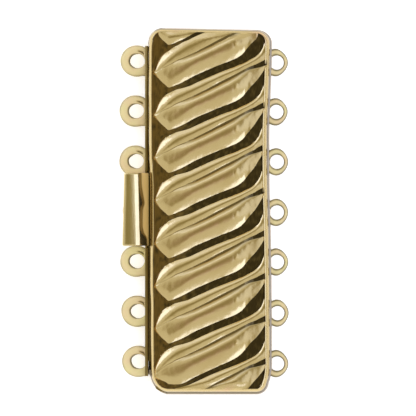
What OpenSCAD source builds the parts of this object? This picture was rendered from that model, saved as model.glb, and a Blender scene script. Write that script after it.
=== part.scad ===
// Push-in box clasp for seven strands, closed, lying on its back.
// Millimetres. X runs across the box from the tongue's side to the ring side, Y along the box, Z up.
// The origin is the centre of the box's flat underside.

/* [Box] */
// Width of the box across the strands
box_w = 12.15; // [11.8:0.05:13]
// Length of the box along the row of strands
box_l = 36.3; // [35.8:0.1:38]
// Height of the box body's walls
body_h = 2.55; // [2.55:0.05:2.8]
// Thickness of the box body's walls and floor
wall = 0.4; // [0.35:0.01:0.42]
// Radius of the box's upright corners
corner_r = 1.45; // [1.2:0.05:1.8]
// Length of the mouth that takes the tongue
mouth_l = 31.6; // [31.2:0.1:32]

/* [Cover] */
// How far the cover's edge stands back from the box body's walls
cover_step = 0.14; // [0.05:0.01:0.2]
// Height of the cover's outer edge above the box body
cover_edge_h = 0.35; // [0.3:0.05:0.5]
// Height of the sunk ground between the gadroons, above the underside
ground_z = 3.35; // [3.3:0.05:3.5]
// Height of the rim's inner edge above the sunk ground
rim_h = 0.2; // [0.1:0.05:0.3]
// How far the cover's locating lip reaches down inside the box body
lip_drop = 0.5; // [0.4:0.05:0.5]

/* [Gadroons] */
// Distance from one gadroon to the next along the box
gadroon_pitch = 4.24; // [4.1:0.02:4.4]
// Left tip of the first whole gadroon, above the centre of the box
first_tip_y = 13.78; // [13.4:0.02:14.2]
// Height of the gadroons' crests above the sunk ground
gadroon_h = 0.85; // [0.6:0.05:0.95]

/* [Loops for the strands] */
// Distance from one strand to the next
strand_pitch = 5; // [4.9:0.05:5.1]
// Number of strands
strands = 7; // [7:1:7]
// Radius of the hole in each ring on the box
ring_hole_r = 0.675; // [0.6:0.025:0.7]
// Radius of the wire that each ring is bent from
ring_wire_r = 0.34; // [0.32:0.01:0.36]
// Distance of the rings' centres from the centre of the box
ring_x = 6.76; // [6.75:0.01:6.9]
// How far the row of rings sits off the middle of the box
ring_row_y = -0.12; // [-0.3:0.02:0.3]
// Radius of the hole in each eye on the end bar
eye_hole_r = 0.65; // [0.6:0.025:0.7]
// Outer radius of each eye
eye_r = 1.5; // [1.4:0.05:1.6]
// Distance of the eyes' centres from the centre of the box
eye_x = 7.2; // [7.18:0.01:7.3]

/* [Tongue] */
// Thickness of the end bar that closes the mouth
bar_t = 0.3; // [0.25:0.01:0.32]
// Length of the end bar
bar_l = 32.9; // [32.6:0.1:33.2]
// Thickness of the tongue's lower leaf
tongue_t = 0.35; // [0.3:0.01:0.38]
// Thickness of the spring leaf and its thumb piece
leaf_t = 0.3; // [0.25:0.01:0.32]
// Width of the tongue and the spring leaf
tongue_l = 30; // [29:0.1:30.4]
// Length of the thumb piece along the box
thumb_l = 7.56; // [7:0.02:7.8]
// Outer radius of the thumb piece's roll
thumb_r = 1.1; // [1:0.02:1.12]

/* [Hidden] */
$fn = 48;
// Clearance between pieces that are pressed or staked together
gap = 0.03;
// Clearance between the end bar and the box
bar_gap = 0.05;
// Overshoot of a cutting solid past the face that it cuts
over = 1;
// How far one solid runs into the next where both are one piece
bite = 0.1;
inner_w = box_w - 2 * wall;
inner_l = box_l - 2 * wall;
cover_w = box_w - 2 * cover_step;
cover_l = box_l - 2 * cover_step;
cover_z = body_h + gap;
cover_top_t = 0.45;
cover_inner_z = ground_z - cover_top_t;
lip_t = 0.3;
lip_w = inner_w - 2 * gap;
lip_l = inner_l - 2 * gap;
lip_z = body_h - lip_drop;
// Sunk field of the cover, in which the gadroons stand: lowest and highest corner
field_lo = [-5.55, -17.65];
field_hi = [5.42, 17.88];
field_r = 0.35;
// Width of the flat on the rim's crown
crown = 0.06;
// Notch in the cover's left edge over the thumb piece
notch_y = 0.1;
notch_l = 7.4;
notch_depth = 0.1;
// Play round the leaf's neck where it passes the cover and the end bar
notch_play = 0.2;
neck_play = 0.3;
// Height of the mouth's sill above the floor
sill = 0.05;
mouth_z = wall + sill;
// How deep a ring's bore cuts into its wire, and how far the rings lie under the walls' top
bore_cut = 0.03;
ring_drop = 0.02;
ring_r = ring_hole_r + ring_wire_r - bore_cut;
ring_z = body_h - ring_wire_r - ring_drop;
bar_x = -box_w / 2 - bar_gap - bar_t;
bar_z = [0.25, 2.45];
eye_z = 0.62;
eye_t = 0.55;
eye_neck = 2.8;
tongue_z = 0.5;
stake_w = 1.6;
stake_y = [-12.5, -7.5, 7.5, 12.5];
// Turning line of the spring leaf, at the tongue's rolled inner edge
fold_x = 4.9;
fold_z = 1.1;
fold_r = 0.28;
fold_web = 0.3;
curl_play = 0.02;
curl_r = fold_r + curl_play;
// Top of the spring leaf over the turning line, and where it starts on the curl
leaf_top = 0.52;
leaf_start = 0.25;
// How far a piece's face stands back from its neighbour's within one soldered or bent part
inset = 0.02;
leaf_tilt = 2.2;
catch_x = -box_w / 2 + wall + gap + lip_t + bar_gap;
leaf_neck_l = 7.1;
neck_end_x = -6.75;
thumb_x = -7.6;
thumb_z = 2.55;
thumb_skirt = 0.65;
thumb_y = 0.1;

// One gadroon: a narrow bead beside a broad leaf, with a crease between them. Each row is a section
// across the box: place along X, then upper edge, crease and lower edge measured from the left tip,
// then the heights of the bead and of the leaf as shares of the tallest crest.
X = 0;
UPPER = 1;
CREASE = 2;
LOWER = 3;
BEAD = 4;
LEAF = 5;
GADROON = [
    [-5.58, 0.10, 0.00, -0.20, 0.00, 0.00],
    [-5.22, 1.02, 0.17, -0.49, 0.35, 0.33],
    [-4.73, 1.72, 0.45, -0.97, 0.56, 0.56],
    [-4.12, 2.27, 0.81, -1.53, 0.68, 0.73],
    [-3.33, 2.60, 1.20, -1.14, 0.73, 0.87],
    [-1.94, 2.93, 1.72, -0.50, 0.74, 0.96],
    [-0.20, 3.62, 2.53, 0.33, 0.73, 1.00],
    [1.54, 4.41, 3.39, 1.07, 0.68, 1.00],
    [3.06, 5.08, 4.21, 1.62, 0.59, 0.94],
    [3.70, 5.34, 4.50, 2.48, 0.52, 0.85],
    [4.30, 5.62, 4.82, 3.15, 0.45, 0.73],
    [4.88, 6.02, 5.10, 3.75, 0.35, 0.56],
    [5.19, 6.55, 5.25, 4.15, 0.28, 0.42],
    [5.45, 7.00, 5.38, 4.70, 0.21, 0.22]
];
// Shape across a bead and a leaf: share of the width, share of the height
BEAD_SHAPE = [[0, 0], [0.1, 0.55], [0.28, 0.9], [0.5, 1], [0.75, 0.94], [1, 0.72]];
LEAF_SHAPE = [[0.08, 0.84], [0.25, 0.97], [0.42, 1], [0.62, 0.9], [0.8, 0.68], [0.93, 0.36], [1, 0]];
// Gadroons before and after the first whole one, with the cut ones at the ends
FIRST = -1;
LAST = 8;
// Thickness of the gadroons' block under the sunk ground, and how far it runs into the rim
root = 0.2;
foot = 0.03;
// Distance over which gadroons that are cut by the rim sink to the ground
fade = 0.3;

function blend(a, b, t) = a + (b - a) * t;

function clamp(v, lo, hi) = min(max(v, lo), hi);

// Place along the box and height of each point across one gadroon
function profile(row) = concat(
    [for (s = BEAD_SHAPE) [blend(row[UPPER], row[CREASE], s[0]), row[BEAD] * s[1]]],
    [for (s = LEAF_SHAPE) [blend(row[CREASE], row[LOWER], s[0]), row[LEAF] * s[1]]]
);

function faded(y) = clamp(min(field_hi[1] - y, y - field_lo[1]) / fade, 0, 1);

// All points of one section of the field, from its top end to its bottom end
function crossing(row) =
    let (hi = field_hi[1] + foot, lo = field_lo[1] - foot)
    concat(
        [[row[X], hi, 0]],
        [
            for (k = [FIRST:LAST], p = profile(row))
                let (y = clamp(first_tip_y - k * gadroon_pitch + p[0], lo, hi))
                    [row[X], y, p[1] * gadroon_h * faded(y)]
        ],
        [[row[X], lo, 0]]
    );

module rounded_outline(w, l, r) {
    square([w - 2 * r, l], center = true);
    square([w, l - 2 * r], center = true);
    for (sx = [-1, 1], sy = [-1, 1])
        translate([sx * (w / 2 - r), sy * (l / 2 - r)]) circle(r);
}

module field_outline(wider) {
    size = field_hi - field_lo + 2 * [wider, wider];
    translate((field_lo + field_hi) / 2) rounded_outline(size[0], size[1], field_r + wider);
}

// The sunk ground with the gadroons on it, as one block: top face, upright sides and flat bottom
module gadroon_field() {
    n = len(GADROON);
    top = [for (row = GADROON) crossing(row)];
    m = len(top[0]);
    border = concat(
        [for (j = [0:m - 1]) j],
        [for (i = [1:n - 1]) i * m + m - 1],
        [for (j = [m - 2:-1:0]) (n - 1) * m + j],
        [for (i = [n - 2:-1:1]) i * m]
    );
    surface = [for (c = top, p = c) p];
    b = len(border);
    points = concat(
        surface,
        [for (e = border) [surface[e][0], surface[e][1], -root]],
        [[0, 0, -root]]
    );
    upper = [
        for (i = [0:n - 2], j = [0:m - 2])
            for (f = [
                [i * m + j, (i + 1) * m + j, i * m + j + 1],
                [i * m + j + 1, (i + 1) * m + j, (i + 1) * m + j + 1]
            ]) f
    ];
    sides = [
        for (e = [0:b - 1])
            let (next = (e + 1) % b, low = n * m + e, low_next = n * m + next)
                for (f = [[border[e], border[next], low], [border[next], low_next, low]]) f
    ];
    under = [for (e = [0:b - 1]) [n * m + b, n * m + e, n * m + (e + 1) % b]];
    translate([0, 0, ground_z]) polyhedron(points, concat(upper, sides, under));
}

module ring_places() {
    for (i = [0:strands - 1])
        translate([ring_x, ring_row_y + (i - (strands - 1) / 2) * strand_pitch, ring_z]) children();
}

module eye_places() {
    for (i = [0:strands - 1])
        translate([-eye_x, (i - (strands - 1) / 2) * strand_pitch, eye_z]) children();
}

// Box body: floor and walls in one, with the seven wire rings soldered to the right wall
module box_body() {
    color("goldenrod") difference() {
        union() {
            linear_extrude(body_h) rounded_outline(box_w, box_l, corner_r);
            ring_places() rotate_extrude() translate([ring_r, 0]) circle(ring_wire_r);
        }
        translate([0, 0, wall])
            linear_extrude(body_h) rounded_outline(inner_w, inner_l, corner_r - wall);
        translate([-box_w / 2 - over, -mouth_l / 2, mouth_z]) cube([over + 2 * wall, mouth_l, body_h]);
        ring_places() cylinder(r = ring_hole_r, h = 2 * over, center = true);
    }
}

// The cover's outside: upright edge and sloping rim up to the crown
module cover_shell() {
    $fn = 32;
    translate([0, 0, cover_z]) hull() {
        linear_extrude(cover_edge_h) rounded_outline(cover_w, cover_l, corner_r - cover_step);
        linear_extrude(ground_z + rim_h - cover_z) field_outline(crown);
    }
}

// Cover: sloping rim round a sunk field of gadroons, and a lip inside the walls that the catch holds
module cover() {
    color("gold") union() {
        difference() {
            union() {
                cover_shell();
                translate([0, 0, lip_z]) linear_extrude(cover_inner_z - lip_z + bite)
                    rounded_outline(lip_w, lip_l, corner_r - wall - gap);
            }
            translate([0, 0, lip_z - over]) linear_extrude(cover_inner_z - lip_z + over)
                rounded_outline(lip_w - 2 * lip_t, lip_l - 2 * lip_t, corner_r - wall - gap - lip_t);
            translate([0, 0, ground_z - root / 2]) linear_extrude(over) field_outline(0);
            translate([-box_w / 2 - over, notch_y - notch_l / 2 - notch_play, lip_z - over])
                cube([
                    over + wall + lip_t + notch_play,
                    notch_l + 2 * notch_play,
                    over + cover_z - lip_z
                ]);
            translate([-box_w / 2 - over, notch_y - notch_l / 2, cover_z - over])
                cube([over + cover_step + notch_depth, notch_l, 3 * over]);
        }
        gadroon_field();
    }
}

// One eye from above: a round with a neck to the middle of the end bar, where it is cut off straight
module eye_outline() {
    reach = eye_x + bar_x + bar_t / 2;
    difference() {
        union() {
            circle(eye_r);
            translate([0, -eye_neck / 2]) square([reach, eye_neck]);
        }
        translate([reach, -2 * eye_r]) square([2 * eye_r, 4 * eye_r]);
    }
}

// End bar: the plate that closes the mouth, with the seven eyes soldered to its outer face
module end_bar() {
    color("darkgoldenrod") difference() {
        union() {
            translate([bar_x, -bar_l / 2, bar_z[0]]) cube([bar_t, bar_l, bar_z[1] - bar_z[0]]);
            eye_places() linear_extrude(eye_t) eye_outline();
        }
        eye_places() cylinder(r = eye_hole_r, h = 4 * over, center = true);
        translate([bar_x - over / 2, thumb_y - leaf_neck_l / 2 - neck_play, eye_z + eye_t])
            cube([over, leaf_neck_l + 2 * neck_play, bar_z[1]]);
        for (y = stake_y)
            translate([bar_x - over, y - stake_w / 2 - gap, tongue_z - gap])
                cube([2 * over, stake_w + 2 * gap, tongue_t + 2 * gap]);
    }
}

// Tongue: the lower leaf that slides in over the floor, staked through the end bar,
// with a rolled inner edge that the spring leaf turns on
module tongue() {
    color("khaki") union() {
        translate([bar_x + bar_t + gap, -tongue_l / 2, tongue_z])
            cube([fold_x + fold_web / 2 - bar_x - bar_t - gap, tongue_l, tongue_t]);
        for (y = stake_y)
            translate([bar_x, y - stake_w / 2, tongue_z]) cube([bar_t + 2 * gap, stake_w, tongue_t]);
        translate([fold_x - fold_web / 2, -tongue_l / 2, tongue_z])
            cube([fold_web, tongue_l, fold_z - tongue_z]);
        translate([fold_x, 0, fold_z])
            rotate([90, 0, 0]) cylinder(r = fold_r, h = tongue_l, center = true);
    }
}

// Half of a tube along Y over the turning line of the curl or the middle of the thumb piece
module half_tube(outer, inner, l) {
    difference() {
        rotate([90, 0, 0]) cylinder(r = outer, h = l, center = true);
        rotate([90, 0, 0]) cylinder(r = inner, h = l + over, center = true);
        translate([-2 * outer, -l, -2 * outer]) cube([4 * outer, 2 * l, 2 * outer]);
    }
}

// Spring leaf: the upper leaf, with a curl on the tongue's rolled edge, two shoulders that catch
// behind the cover's lip, and a neck that ends in the rolled thumb piece
module spring_leaf() {
    curl_outer = curl_r + leaf_t - inset;
    color("burlywood") union() {
        translate([fold_x, 0, fold_z]) {
            half_tube(curl_outer, curl_r, tongue_l - 2 * inset);
            rotate([0, leaf_tilt, 0]) translate([0, 0, leaf_top - leaf_t]) linear_extrude(leaf_t) {
                translate([catch_x - fold_x, -tongue_l / 2])
                    square([fold_x - catch_x - leaf_start, tongue_l]);
                translate([neck_end_x - fold_x, thumb_y - leaf_neck_l / 2])
                    square([fold_x - neck_end_x - leaf_start - inset, leaf_neck_l]);
            }
        }
        translate([thumb_x, thumb_y, thumb_z]) {
            half_tube(thumb_r, thumb_r - leaf_t, thumb_l);
            for (x = [-thumb_r, thumb_r - leaf_t])
                translate([x + inset, inset - thumb_l / 2, -thumb_skirt])
                    cube([leaf_t - 2 * inset, thumb_l - 2 * inset, thumb_skirt + 2 * inset]);
        }
    }
}

box_body();
cover();
end_bar();
tongue();
spring_leaf();
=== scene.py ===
# %% [markdown]
# # A seven-strand box clasp in gold plate
#
# The clasp is a shallow box with a cast cover. Slanted gadroons cross the cover, a row of wire rings
# holds one side of the necklace, and a row of flat eyes on a sliding tongue holds the other. A sprung
# thumb piece sticks out under the cover's left edge.
#
# The solid model sets the main sizes. This script adds the forms that a caster and a polisher leave:
# rounded edges, a crease in each gadroon, wire that isn't quite round, and gold that mirrors the studio.

import math

import bmesh
import bpy
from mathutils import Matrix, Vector, noise


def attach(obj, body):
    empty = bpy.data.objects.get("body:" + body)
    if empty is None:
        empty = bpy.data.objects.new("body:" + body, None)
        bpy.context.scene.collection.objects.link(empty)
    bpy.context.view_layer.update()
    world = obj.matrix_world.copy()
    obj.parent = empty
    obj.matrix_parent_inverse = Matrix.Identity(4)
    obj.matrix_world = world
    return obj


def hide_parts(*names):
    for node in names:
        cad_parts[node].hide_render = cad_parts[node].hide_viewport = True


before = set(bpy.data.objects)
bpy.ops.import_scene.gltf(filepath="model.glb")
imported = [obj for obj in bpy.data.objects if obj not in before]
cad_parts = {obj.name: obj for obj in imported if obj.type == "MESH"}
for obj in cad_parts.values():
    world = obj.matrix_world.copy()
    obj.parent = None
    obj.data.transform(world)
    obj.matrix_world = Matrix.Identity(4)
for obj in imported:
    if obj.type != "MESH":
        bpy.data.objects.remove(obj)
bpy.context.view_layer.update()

MM = 0.001
BOX_W, BODY_H = 12.15, 2.55
GROUND_Z = 3.35
STRAND_PITCH = 5.0
GADROON_PITCH = 4.24
FIRST_TIP_Y = 13.78

# %% [markdown]
# ## Camera
#
# The picture looks straight down. A long lens from half a metre keeps near and far parts of so small
# an object at the same scale, as a macro photograph from a copy stand does. One millimetre is 10.05
# pixels of the picture's 416, and the clasp sits a little to the right of the middle.

# %% Camera
PICTURE_SIDE = 416
PIXELS_PER_MM = 10.05
BOX_CENTRE_PIXEL = (209.5, 211.0)
CAMERA_DISTANCE = 0.5
FOCUS_HEIGHT = 0.003
SENSOR = 36.0

view_width = PICTURE_SIDE / PIXELS_PER_MM * MM
middle = PICTURE_SIDE / 2
camera_x = (middle - BOX_CENTRE_PIXEL[0]) / PIXELS_PER_MM * MM
camera_y = (BOX_CENTRE_PIXEL[1] - middle) / PIXELS_PER_MM * MM
camera_data = bpy.data.cameras.new("copy_stand_camera")
camera_data.sensor_width = SENSOR
camera_data.lens = SENSOR * CAMERA_DISTANCE / view_width
camera = bpy.data.objects.new("copy_stand_camera", camera_data)
camera.location = (camera_x, camera_y, CAMERA_DISTANCE + FOCUS_HEIGHT)
bpy.context.scene.collection.objects.link(camera)
bpy.context.scene.camera = camera
print("lens, mm:", round(camera_data.lens))

# %% [markdown]
# ## Helpers for pieces
#
# Every piece is drawn in millimetres and scaled to metres at the end, so that the numbers read like a
# jeweller's. The helper also gives the piece its body, its finish and smooth shading with crisp edges.

# %% Finish a piece
def finish_piece(name, bm, body, material, sharp_deg=40):
    bmesh.ops.scale(bm, vec=(MM, MM, MM), verts=bm.verts)
    mesh = bpy.data.meshes.new(name)
    bm.to_mesh(mesh)
    bm.free()
    mesh.materials.append(material)
    mesh.shade_smooth()
    mesh.set_sharp_from_angle(angle=math.radians(sharp_deg))
    piece = bpy.data.objects.new(name, mesh)
    bpy.context.scene.collection.objects.link(piece)
    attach(piece, body)
    print(name, "faces:", len(mesh.polygons), "size, mm:", [round(v / MM, 2) for v in piece.dimensions])
    return piece


# %% Smooth curve through measured stations
def smooth_curve(stations, values):
    """A curve through the values that never overshoots between two stations."""
    steps = [b - a for a, b in zip(stations, stations[1:])]
    rises = [(b - a) / h for a, b, h in zip(values, values[1:], steps)]
    slopes = [rises[0]]
    for a, b in zip(rises, rises[1:]):
        slopes.append(0.0 if a * b <= 0 else 2 * a * b / (a + b))
    slopes.append(rises[-1])

    def at(x):
        i = 0
        while i < len(steps) - 1 and x > stations[i + 1]:
            i += 1
        h = steps[i]
        t = min(max((x - stations[i]) / h, 0.0), 1.0)
        return (
            values[i] * (1 + 2 * t) * (1 - t) ** 2
            + slopes[i] * h * t * (1 - t) ** 2
            + values[i + 1] * t * t * (3 - 2 * t)
            + slopes[i + 1] * h * t * t * (t - 1)
        )

    return at


def smooth_step(t):
    t = min(max(t, 0.0), 1.0)
    return t * t * (3 - 2 * t)


# %% [markdown]
# ## Gold finishes
#
# Plated brass is a pale yellow metal with no colour of its own in the shadows: it shows what it
# mirrors. A fine noise moves the colour and the gloss a little, and a stretched noise gives the hair
# lines that handling leaves. All patterns read object coordinates, so they stay on the metal.
#
# Named values on the points of a mesh paint shade into hollows, creases, edges and the box's mouth, and a
# greyer painted shade on the top of the box's walls. Others paint a warm colour along the dark streak that
# each leaf's crest mirrors, and on the thumb piece's neck for the light in the mouth's shade. One of them
# can
# turn a part of a piece satin: that part shows its painted colour and hardly mirrors, as the thumb piece's
# neck.

# %% Nodes of a gold
# how metallic a fully satin place still is
SATIN_METAL = 0.08
CLOUD_SCALE, FINE_SCALE = 420.0, 2600.0


def mesh_value(nodes, name):
    """A named value on the points of the mesh."""
    value = nodes.new("ShaderNodeAttribute")
    value.attribute_name = name
    return value.outputs["Fac"]


def mixed(nodes, links, share, colour, other):
    """A colour, or the colour from another node, with a share of a second one mixed in."""
    mix = nodes.new("ShaderNodeMix")
    mix.data_type = "RGBA"
    mix.inputs["B"].default_value = (*other, 1)
    links.new(share, mix.inputs["Factor"])
    if isinstance(colour, tuple):
        mix.inputs["A"].default_value = (*colour, 1)
    else:
        links.new(colour, mix.inputs["A"])
    return mix.outputs["Result"]


def spread_over(nodes, links, value, low, high):
    """Turns a value between 0 and 1 into one between low and high."""
    spread = nodes.new("ShaderNodeMapRange")
    spread.inputs["To Min"].default_value = low
    spread.inputs["To Max"].default_value = high
    links.new(value, spread.inputs["Value"])
    return spread.outputs["Result"]


def fine_relief(nodes, links, place, grain, hairline):
    """A fine grain on the metal, which hairline stretches along the clasp."""
    stretch = nodes.new("ShaderNodeMapping")
    stretch.inputs["Scale"].default_value = (1.0, 1.0 - hairline, 1.0)
    links.new(place.outputs["Object"], stretch.inputs["Vector"])
    fine = nodes.new("ShaderNodeTexNoise")
    fine.inputs["Scale"].default_value = FINE_SCALE
    fine.inputs["Detail"].default_value = 3.0
    links.new(stretch.outputs["Vector"], fine.inputs["Vector"])
    bump = nodes.new("ShaderNodeBump")
    bump.inputs["Strength"].default_value = grain
    bump.inputs["Distance"].default_value = 0.0004
    links.new(fine.outputs["Fac"], bump.inputs["Height"])
    return bump.outputs["Normal"]


def gold(name, colour, dark, roughness, grain=0.02, hairline=0.0, metallic=1.0, tints=(), satin=""):
    """A gold that varies a little, with other colours where the mesh's named values ask for them."""
    material = bpy.data.materials.new(name)
    material.use_nodes = True
    nodes, links = material.node_tree.nodes, material.node_tree.links
    shader = nodes["Principled BSDF"]
    place = nodes.new("ShaderNodeTexCoord")
    cloud = nodes.new("ShaderNodeTexNoise")
    cloud.inputs["Scale"].default_value = CLOUD_SCALE
    cloud.inputs["Detail"].default_value = 4.0
    links.new(place.outputs["Object"], cloud.inputs["Vector"])

    darker = nodes.new("ShaderNodeMapRange")
    darker.inputs["From Min"].default_value = 0.35
    darker.inputs["From Max"].default_value = 0.9
    links.new(cloud.outputs["Fac"], darker.inputs["Value"])
    colour_out = mixed(nodes, links, darker.outputs["Result"], colour, dark)
    for attribute, tint in tints:
        colour_out = mixed(nodes, links, mesh_value(nodes, attribute), colour_out, tint)
    links.new(colour_out, shader.inputs["Base Color"])

    gloss = spread_over(nodes, links, cloud.outputs["Fac"], roughness * 0.8, roughness * 1.25)
    links.new(gloss, shader.inputs["Roughness"])
    shader.inputs["Metallic"].default_value = metallic
    if satin:
        metal = spread_over(nodes, links, mesh_value(nodes, satin), metallic, SATIN_METAL)
        links.new(metal, shader.inputs["Metallic"])
    links.new(fine_relief(nodes, links, place, grain, hairline), shader.inputs["Normal"])
    return material


# %% Finishes of the clasp
PALE_GOLD = (0.84, 0.65, 0.30)
DEEP_GOLD = (0.76, 0.56, 0.23)
# the cover's tints: a warm colour, painted on the mirrored streaks and real on one flushed corner, and
# painted shade on the ground, the creases, the wall tops and the border
cast_gold = gold("bright_cast_gold", PALE_GOLD, DEEP_GOLD, 0.18, grain=0.03, tints=[
    ("warm", (0.88, 0.56, 0.36)), ("left_ground_shade", (0.38, 0.245, 0.08)), ("painted_shade", (0.115, 0.085, 0.038)),
])
satin_gold = gold(
    "satin_loop_gold", (0.94, 0.82, 0.38), (0.98, 0.66, 0.42), 0.5, grain=0.1, metallic=0.0,
    tints=[("painted_shade", (0.24, 0.19, 0.07))],
)
# box walls: a greyer painted shade at the top, and painted shade round the mouth
body_gold = gold(
    "box_wall_gold", (0.74, 0.58, 0.30), (0.66, 0.50, 0.24), 0.3, grain=0.04,
    tints=[("lip_shade", (0.50, 0.42, 0.31)), ("painted_shade", (0.12, 0.08, 0.03))],
)
# the bar is painted dark: shade for the gap beside the cover, where it sits
bar_gold = gold("shade_painted_bar_gold", (0.30, 0.21, 0.065), (0.19, 0.13, 0.04), 0.28, grain=0.06)
# the tongue's darker gold is painted shade, for the unlit inside of the box
tongue_gold = gold(
    "tongue_sheet_gold", (0.55, 0.41, 0.19), (0.45, 0.33, 0.14), 0.3, grain=0.06, hairline=0.9,
)
# the thumb piece's neck is painted warm for the light in the mouth's shade, and the mouth and the wall are
# painted dark as shade
sheet_gold = gold(
    "rolled_sheet_gold", (0.82, 0.66, 0.32), (0.72, 0.55, 0.24), 0.16, grain=0.06, hairline=0.9,
    tints=[("warm", (1.0, 0.68, 0.24)), ("painted_shade", (0.13, 0.09, 0.025))], satin="warm",
)
print("finishes:", [m.name for m in bpy.data.materials])

# %% [markdown]
# ## Gadroons
#
# Each gadroon is a narrow bead beside a broad leaf, with a sharp crease between them and flat ground
# before the next. A plain grid is the raw plate: its columns run across the box, and its rows are
# moved on to the bead, the crease, the leaf and the ground of each gadroon in turn. The rows follow
# the edges that the caster cut, so the creases stay crisp where a displaced grid would blur them.

# %% One gadroon, by stations across the box
OUTLINES = [
    # x, then y of the bead's upper edge, of the crease and its width, y of the leaf's lower edge
    (-5.57, 0.06, 0.00, 0.00, -0.14),
    (-5.45, 0.25, 0.01, 0.00, -0.22),
    (-5.27, 0.80, 0.05, 0.00, -0.45),
    (-4.98, 1.38, 0.20, 0.00, -0.73),
    (-4.68, 1.75, 0.40, 0.00, -1.02),
    (-4.38, 2.00, 0.55, 0.01, -1.28),
    (-4.14, 2.15, 0.66, 0.02, -1.50),
    (-4.04, 2.20, 0.71, 0.02, -1.53),
    (-3.78, 2.33, 0.84, 0.03, -1.46),
    (-3.28, 2.55, 1.12, 0.04, -1.27),
    (-2.69, 2.70, 1.37, 0.05, -1.01),
    (-2.09, 2.87, 1.65, 0.07, -0.69),
    (-1.49, 3.14, 1.91, 0.09, -0.35),
    (-0.30, 3.69, 2.48, 0.13, 0.17),
    (0.90, 4.20, 3.11, 0.17, 0.68),
    (2.09, 4.66, 3.70, 0.19, 1.13),
    (2.69, 4.89, 4.00, 0.19, 1.40),
    (3.28, 5.15, 4.33, 0.19, 1.80),
    (3.70, 5.34, 4.54, 0.20, 2.32),
    (4.10, 5.56, 4.71, 0.24, 2.80),
    (4.48, 5.84, 4.84, 0.32, 3.24),
    (4.88, 6.30, 5.02, 0.46, 3.84),
    (5.12, 6.80, 5.12, 0.50, 4.22),
    (5.30, 7.30, 5.20, 0.55, 4.50),
    (5.50, 7.60, 5.30, 0.60, 4.75),
]
RELIEF = [
    # x, heights of bead, crease and leaf, where the crests lie between the edges,
    # how much of the height is a wall at the bead's and the leaf's outer edge,
    # roundness of the bead's upper side and of the leaf's lower side
    (-5.57, 0.00, 0.00, 0.00, 0.90, 0.30, 0.10, 0.30, 1.5, 1.5),
    (-5.45, 0.09, 0.08, 0.08, 0.90, 0.30, 0.10, 0.30, 1.9, 1.5),
    (-5.27, 0.21, 0.19, 0.21, 0.90, 0.35, 0.12, 0.30, 2.0, 1.5),
    (-4.98, 0.31, 0.28, 0.31, 0.88, 0.40, 0.12, 0.35, 2.1, 1.5),
    (-4.68, 0.39, 0.34, 0.39, 0.84, 0.45, 0.14, 0.38, 2.1, 1.5),
    (-4.38, 0.46, 0.38, 0.45, 0.78, 0.48, 0.18, 0.36, 2.0, 1.6),
    (-4.08, 0.51, 0.41, 0.50, 0.72, 0.50, 0.26, 0.38, 1.9, 1.7),
    (-3.78, 0.53, 0.43, 0.54, 0.68, 0.50, 0.36, 0.40, 1.9, 1.7),
    (-3.28, 0.54, 0.44, 0.60, 0.60, 0.48, 0.48, 0.36, 1.8, 1.8),
    (-2.69, 0.54, 0.42, 0.66, 0.55, 0.45, 0.58, 0.36, 1.7, 1.7),
    (-2.09, 0.54, 0.41, 0.70, 0.50, 0.42, 0.62, 0.38, 1.7, 1.5),
    (-1.49, 0.54, 0.39, 0.73, 0.50, 0.40, 0.62, 0.40, 1.7, 1.45),
    (-0.30, 0.54, 0.38, 0.74, 0.50, 0.39, 0.60, 0.41, 1.7, 1.5),
    (0.90, 0.53, 0.37, 0.74, 0.50, 0.39, 0.60, 0.43, 1.7, 1.5),
    (2.09, 0.50, 0.37, 0.71, 0.48, 0.38, 0.58, 0.38, 1.7, 1.7),
    (2.69, 0.48, 0.38, 0.64, 0.47, 0.36, 0.57, 0.34, 1.7, 2.0),
    (3.10, 0.46, 0.38, 0.58, 0.47, 0.33, 0.57, 0.30, 1.7, 2.3),
    (3.40, 0.44, 0.36, 0.53, 0.47, 0.31, 0.57, 0.34, 1.7, 2.4),
    (3.70, 0.42, 0.34, 0.47, 0.47, 0.27, 0.57, 0.56, 1.7, 2.0),
    (4.10, 0.39, 0.31, 0.39, 0.45, 0.20, 0.56, 0.82, 1.7, 1.5),
    (4.48, 0.36, 0.26, 0.32, 0.45, 0.16, 0.55, 0.84, 1.7, 1.5),
    (4.88, 0.32, 0.22, 0.25, 0.45, 0.12, 0.55, 0.86, 1.7, 1.5),
    (5.12, 0.30, 0.20, 0.20, 0.45, 0.10, 0.55, 0.86, 1.7, 1.5),
    (5.30, 0.28, 0.18, 0.15, 0.45, 0.10, 0.55, 0.86, 1.7, 1.5),
    (5.50, 0.27, 0.16, 0.12, 0.45, 0.10, 0.55, 0.86, 1.7, 1.5),
]
outline_at = [smooth_curve([row[0] for row in OUTLINES], [row[i] for row in OUTLINES]) for i in range(1, 5)]
relief_at = [smooth_curve([row[0] for row in RELIEF], [row[i] for row in RELIEF]) for i in range(1, 10)]

BEAD_STEPS, LEAF_STEPS, GROUND_STEPS = 12, 20, 8
WALL_WIDTH = 0.02
CREASE_WALL, POCKET_WALL = 0.06, 0.25
LEAF_RISE, BEAD_FALL = 2.8, 1.4
# how much shade is painted on the top of an outer wall and on the leaf's edge along the crease, and how
# many rows that takes
WALL_SHADE, CREASE_SHADE, CREASE_ROWS = 0.8, 0.75, 5
# where the warm colour painted along the leaf's mirrored dark streak runs between its edges, and how narrow
# it is
STREAK_AT, STREAK_HALF = 0.42, 0.12


def ridge(t, crest, start, top, end, rise, fall):
    """Height across a bead or a leaf: t runs from 0 at its upper edge to 1 at its lower one."""
    if t < crest:
        return start + (top - start) * (1 - ((crest - t) / crest) ** rise)
    return end + (top - end) * (1 - ((t - crest) / (1 - crest)) ** fall)


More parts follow.
